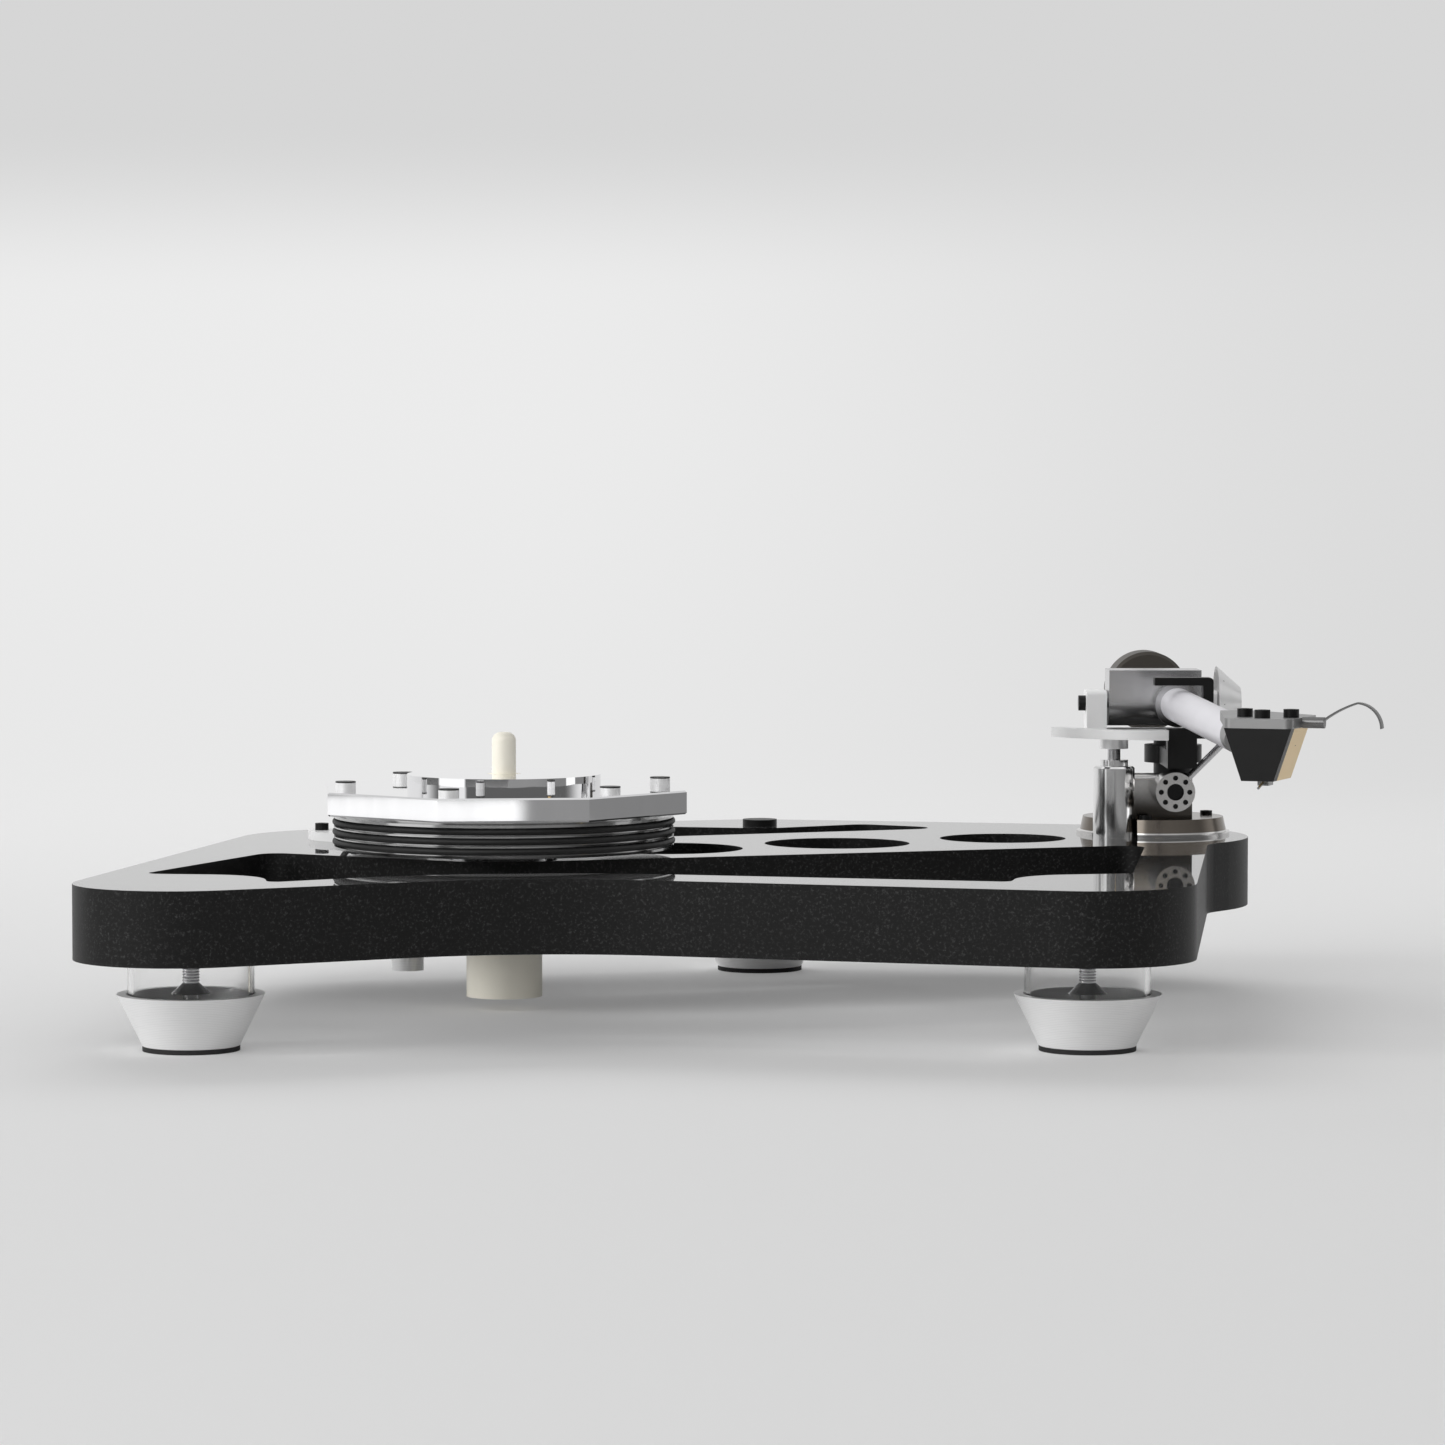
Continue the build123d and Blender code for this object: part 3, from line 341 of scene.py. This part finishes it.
own_finishes = {
    # Painted shade: the bearing block is dark in its lower part and light above.
    "bearing_block": split_metal(
        "block_metal", "bearing_block", (0.1, 0.1, 0.1), (0.8, 0.8, 0.81), 0.1, 0.55, 0.22
    ),
    "arm_yoke": plain_finish("yoke_silver", (0.95, 0.95, 0.95), 0.35, 0.05, Metallic=0.15),
    "cue_barrel": drilled_metal("drilled_knob", "cue_barrel", (0.8, 0.79, 0.78)),
    # Painted light: the cue housing is dark below and bright on top, a painted highlight over painted
    # shade.
    "cue_housing": split_metal(
        "housing_metal", "cue_housing", (0.1, 0.09, 0.08), (0.88, 0.87, 0.86), 0.15, 0.8
    ),
    "headshell": polished_metal("shell_metal", (0.4, 0.4, 0.4), 0.4),
    "finger_lift": polished_metal("lift_metal", (0.2, 0.2, 0.2), 0.35),
    "motor_cover": polished_metal("cover_metal", (0.98, 0.98, 0.98), 0.3, metallic=0.15),
    "sub_platter": wheel_metal("wheel_metal", "sub_platter", 11 * MM),
}
for node, finish in own_finishes.items():
    nodes[node].data.materials[0] = finish.material


# Small repeated details


class Pattern(Net):
    """Geometry nodes with named sizes that set a small solid at many places."""

    def __init__(self, name, **sizes):
        super().__init__(bpy.data.node_groups.new(name, "GeometryNodeTree"))
        self.sizes = sizes
        self.keys = {}
        self.tree.interface.new_socket("Geometry", in_out="INPUT", socket_type="NodeSocketGeometry")
        for key in sizes:
            socket = self.tree.interface.new_socket(key, in_out="INPUT", socket_type="NodeSocketFloat")
            self.keys[key] = socket.identifier
        self.tree.interface.new_socket("Geometry", in_out="OUTPUT", socket_type="NodeSocketGeometry")
        entry = self.tree.nodes.new("NodeGroupInput")
        self.places = Signal(self, entry.outputs[0])
        self.size = {key: Signal(self, entry.outputs[key]) for key in sizes}

    def upright(self, height):
        """Vector along Z."""
        return self.node("ShaderNodeCombineXYZ", None, {"Z": height})

    def moved(self, shape, **change):
        """Shape moved, turned or scaled."""
        return self.node("GeometryNodeTransform", None, {"Geometry": shape, **change})

    def repeat(self, places, solid, **change):
        """Solid at every place."""
        sockets = {"Points": places, "Instance": solid, **change}
        return self.node("GeometryNodeInstanceOnPoints", None, sockets)

    def finished(self, shape, slot, body, places):
        """Plain mesh of the pattern, in its finish, riding on a body."""
        name = self.tree.name
        real = self.node("GeometryNodeRealizeInstances", None, {0: shape})
        painted = self.node("GeometryNodeSetMaterial", None, {"Geometry": real})
        painted.socket.node.inputs["Material"].default_value = finishes[slot].material
        self.tree.links.new(painted.socket, self.tree.nodes.new("NodeGroupOutput").inputs[0])
        seed = bpy.data.meshes.new(name + "_places")
        seed.from_pydata([tuple(place) for place in places], [], [])
        maker = bpy.data.objects.new(name + "_maker", seed)
        bpy.context.scene.collection.objects.link(maker)
        modifier = maker.modifiers.new(name, "NODES")
        modifier.node_group = self.tree
        for key, value in self.sizes.items():
            modifier[self.keys[key]] = value
        graph = bpy.context.evaluated_depsgraph_get()
        mesh = bpy.data.meshes.new_from_object(maker.evaluated_get(graph))
        bpy.data.objects.remove(maker)
        mesh.name = name
        piece = bpy.data.objects.new(name, mesh)
        bpy.context.scene.collection.objects.link(piece)
        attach(piece, body)


def stud_threads():
    """Thread ridges on the bare length of the foot studs."""
    made = Pattern("stud_threads", radius=2.2 * MM, ridge=0.22 * MM, pitch=0.8 * MM, count=8)
    sockets = {"Resolution": 32, "Radius": made.size["radius"]}
    ring = made.node("GeometryNodeCurvePrimitiveCircle", None, sockets)
    sockets = {"Resolution": 8, "Radius": made.size["ridge"]}
    section = made.node("GeometryNodeCurvePrimitiveCircle", None, sockets)
    ridge = made.node("GeometryNodeCurveToMesh", None, {"Curve": ring, "Profile Curve": section})
    sockets = {"Count": made.size["count"], "Offset": made.upright(made.size["pitch"])}
    line = made.node("GeometryNodeMeshLine", None, sockets)
    stack = made.node("GeometryNodeRealizeInstances", None, {0: made.repeat(line, ridge)})
    above_rim = 3.6 * MM
    places = []
    for foot in ("front_left", "front_right", "rear"):
        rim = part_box(foot + "_foot_cup")[1].z
        axis = middle(foot + "_foot_stud")
        places.append((axis.x, axis.y, rim + above_rim))
    made.finished(made.repeat(made.places, stack), "steel", "root", places)


def dial_marks():
    """Scale round the wide end of the force dial, every fifth mark longer."""
    low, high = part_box("force_dial")
    radius = (high.z - low.z) / 2
    made = Pattern("dial_marks", radius=radius * 0.9, length=1.1 * MM, width=0.22 * MM, count=40)
    size = made.size
    slope = -math.radians(41)
    bar_size = made.node("ShaderNodeCombineXYZ", None, {0: 0.1 * MM, 1: size["width"], 2: size["length"]})
    bar = made.moved(made.node("GeometryNodeMeshCube", None, {"Size": bar_size}), Rotation=(0, slope, 0))
    ring = made.node("GeometryNodeMeshCircle", None, {"Vertices": size["count"], "Radius": size["radius"]})
    index = made.node("GeometryNodeInputIndex")
    turn = made.upright(index * (2 * math.pi) / size["count"])
    fifth = made.node("ShaderNodeMath", {"operation": "MODULO"}, {0: index, 1: 5.0})
    first = made.node("ShaderNodeMath", {"operation": "LESS_THAN"}, {0: fifth, 1: 0.5})
    stretch = made.node("ShaderNodeCombineXYZ", None, {0: 1.0, 1: 1.0, 2: 1 + first * 0.7})
    marks = made.moved(made.repeat(ring, bar, Rotation=turn, Scale=stretch), Rotation=(0, math.pi / 2, 0))
    rim_width = 1.0 * MM
    run_for_rise = 7.5 / 6.6
    wide_end = low.x + rim_width + radius * 0.1 * run_for_rise
    places = [(wide_end, (low.y + high.y) / 2, (low.z + high.z) / 2)]
    made.finished(made.repeat(made.places, marks), "black_metal", "dial", places)


def terminal_pins():
    """Four pins on the back of the cartridge."""
    corners = [corner.co for corner in nodes["cartridge_body"].data.vertices]
    centre = middle("cartridge_body")
    axis = centre - middle("cartridge_front")
    axis.z = 0
    axis.normalize()
    across = Vector((-axis.y, axis.x, 0))
    back = max((corner - centre).dot(axis) for corner in corners)
    middle_out = 1.5 * MM
    made = Pattern("terminal_pins", radius=0.55 * MM, length=3.6 * MM)
    sockets = {"Vertices": 16, "Radius": made.size["radius"], "Depth": made.size["length"]}
    pin = made.node("GeometryNodeMeshCylinder", None, sockets)
    aim = (math.pi / 2, 0, math.atan2(axis.x, -axis.y))
    places = []
    for side in (-2.4 * MM, 2.4 * MM):
        for rise in (-1.5 * MM, 3.0 * MM):
            places.append(centre + axis * (back + middle_out) + across * side + Vector((0, 0, rise)))
    made.finished(made.repeat(made.places, made.moved(pin, Rotation=aim)), "bronze", "arm", places)


stud_threads()
dial_marks()
terminal_pins()


# Studio, in metres

# Directions of the lit panels that mirrors see, from straight ahead
LEFT_PANEL = (math.radians(-80), math.radians(-44))
RIGHT_PANEL = (math.radians(81), math.radians(95))
# Grey of the floor, and how much of the shade on it is lifted for the camera
FLOOR_PAPER = 0.85
SHADE_LIFT = 0.22


def studio_floor():
    """Pale floor that curves up into the wall behind."""
    front, bend_start, bend, top, half_width, steps = -3.0, 1.0, 0.9, 4.0, 5.0, 16
    profile = [(front, 0.0), (bend_start, 0.0)]
    for step in range(1, steps + 1):
        turn = step / steps * math.pi / 2
        profile.append((bend_start + bend * math.sin(turn), bend * (1 - math.cos(turn))))
    profile.append((bend_start + bend, top))
    mesh = bpy.data.meshes.new("studio_floor")
    shape = bmesh.new()
    rows = [[shape.verts.new((x, y, z)) for x in (-half_width, half_width)] for y, z in profile]
    for lower, upper in zip(rows, rows[1:]):
        face = shape.faces.new((lower[0], lower[1], upper[1], upper[0]))
        face.smooth = True
    shape.to_mesh(mesh)
    shape.free()
    floor = bpy.data.objects.new("studio_floor", mesh)
    bpy.context.scene.collection.objects.link(floor)
    mesh.materials.append(studio_paper().material)


def mirrored_room(net, x, y):
    """What mirrors see in front of the object: a pale table, the dim room past it and two lit panels."""
    off_x = x - SPINDLE.x
    off_y = SPINDLE.y - y
    reach = (off_x * off_x + off_y * off_y) ** 0.5
    turn = net.node("ShaderNodeMath", {"operation": "ARCTAN2"}, {0: off_x, 1: off_y})
    ahead = net.between(reach, 0.5, 0.6) * net.band(turn, -1.9, 2.1, 0.1)
    panels = net.band(turn, *LEFT_PANEL, 0.03) + net.band(turn, *RIGHT_PANEL, 0.02)
    table = net.band(reach, 0.88, 1.068, 0.006) * (1 - net.between(turn, 0.147, 0.155))
    dim = 0.13 + 0.16 * net.between(turn, 0.1, 0.17) - 0.06 * net.between(turn, 0.5, 1.3)
    lit = net.node("ShaderNodeMath", {"operation": "MAXIMUM"}, {0: panels, 1: table})
    return ahead, dim + lit


def studio_paper():
    """Pale paper that brightens up the wall."""
    paper = Finish("studio_paper", Roughness=0.9)
    x, y, z = paper.parts()
    rays = paper.node("ShaderNodeLightPath").socket.node.outputs
    camera, glossy, through = [
        Signal(paper, rays[name]) for name in ("Is Camera Ray", "Is Glossy Ray", "Is Transmission Ray")
    ]
    wall = paper.between(y, 0.1, 1.2)
    paper.set("Base Color", paper.blend(wall, grey(FLOOR_PAPER), grey(0.8)))
    # Painted shade: the wall is shown darker towards the right.
    right = paper.between(x, -0.15, 0.5)
    low_wall = paper.blend(right, grey(0.81), grey(0.695))
    high_wall = paper.blend(right, grey(0.835), grey(0.71))
    plain = paper.blend(paper.between(z, 0.0, 0.2), low_wall, high_wall)
    faded = paper.blend(paper.between(z, 0.27, 0.39), plain, grey(0.672))
    backdrop = paper.node("ShaderNodeEmission", None, {0: paper.blend(wall, grey(0.7), faded)})
    ahead, level = mirrored_room(paper, x, y)
    room = paper.node("ShaderNodeEmission", None, {1: level})
    lit = Signal(paper, paper.shader.outputs[0])
    shown = (wall + (1 - wall) * SHADE_LIFT) * (camera + through) + wall * glossy
    backed = paper.node("ShaderNodeMixShader", None, {0: shown, 1: lit, 2: backdrop})
    seen = paper.node("ShaderNodeMixShader", None, {0: ahead * glossy, 1: backed, 2: room})
    paper.feed(paper.tree.nodes["Material Output"].inputs[0], seen)
    return paper


def soft_light(name, place, target, size, power, seen=True):
    """Large soft lamp that faces a point; an unseen one shows in no mirror and no view."""
    lamp = bpy.data.lights.new(name, "AREA")
    lamp.shape = "RECTANGLE"
    lamp.size, lamp.size_y = size
    lamp.energy = power
    holder = bpy.data.objects.new(name, lamp)
    holder.location = place
    holder.rotation_euler = (Vector(target) - Vector(place)).to_track_quat("-Z", "Y").to_euler()
    holder.visible_camera = holder.visible_glossy = seen
    bpy.context.scene.collection.objects.link(holder)


def side_light(name, source, strength, spread):
    """Broad even light from one side, kept out of mirrors; spread is in degrees."""
    lamp = bpy.data.lights.new(name, "SUN")
    lamp.energy = strength
    lamp.angle = math.radians(spread)
    holder = bpy.data.objects.new(name, lamp)
    holder.location = source
    holder.rotation_euler = (-Vector(source)).to_track_quat("-Z", "Y").to_euler()
    holder.visible_glossy = False
    bpy.context.scene.collection.objects.link(holder)


def room_light():
    """Even pale room; mirrors see it dim on the camera's side, with one lit panel, and brighter above."""
    world = bpy.data.worlds.new("room")
    world.use_nodes = True
    bpy.context.scene.world = world
    room = Net(world.node_tree)
    facing = room.node("ShaderNodeTexCoord", output="Generated")
    x, y, z = room.outputs(room.node("ShaderNodeSeparateXYZ", None, {0: facing}))
    rays = room.node("ShaderNodeLightPath").socket.node.outputs
    camera, glossy = [Signal(room, rays[name]) for name in ("Is Camera Ray", "Is Glossy Ray")]
    turn = room.node("ShaderNodeMath", {"operation": "ARCTAN2"}, {0: x, 1: 0 - y})
    panel = room.band(turn, *LEFT_PANEL, 0.05) * (1 - room.between(z, 0.5, 0.7))
    behind = room.between(y, -0.2, 0.3)
    above = room.between(z, 0.1, 0.5)
    level = 0.12 + behind * 0.7 + panel * 0.9 + above * 0.5
    mirrored = room.node("ShaderNodeMath", {"operation": "MINIMUM"}, {0: level, 1: 0.9})
    seen, lighting = 0.52, 0.42
    background = room.tree.nodes["Background"]
    room.feed(background.inputs[0], grey(1.0))
    strength = glossy * mirrored + camera * seen + (1 - glossy - camera) * lighting
    room.feed(background.inputs[1], strength)


def studio_camera():
    """Camera at the photograph's place, a little above the plinth and looking along it."""
    picture_width, focal_length = 1445, 4900
    right, back, height, tilt = 0.065, 1.455, 0.1575, math.radians(2.833)
    lens = bpy.data.cameras.new("camera")
    lens.sensor_width = 36.0
    lens.lens = lens.sensor_width * focal_length / picture_width
    lens.clip_end = 50.0
    holder = bpy.data.objects.new("camera", lens)
    holder.location = (SPINDLE.x + right, SPINDLE.y - back, height)
    holder.rotation_euler = (math.pi / 2 - tilt, 0, 0)
    bpy.context.scene.collection.objects.link(holder)
    bpy.context.scene.camera = holder


studio_floor()
room_light()
soft_light("key_light", (-1.0, -1.4, 0.9), (0, 0, 0.04), size=(1.2, 1.2), power=10)
side_light("side_light", (-1.0, -0.15, 0.15), strength=1.3, spread=20)
soft_light("rear_light", (-0.3, 1.5, 1.1), (0, 0.1, 0), size=(1.8, 0.8), power=16, seen=False)
studio_camera()
bpy.context.scene.view_settings.view_transform = "Standard"
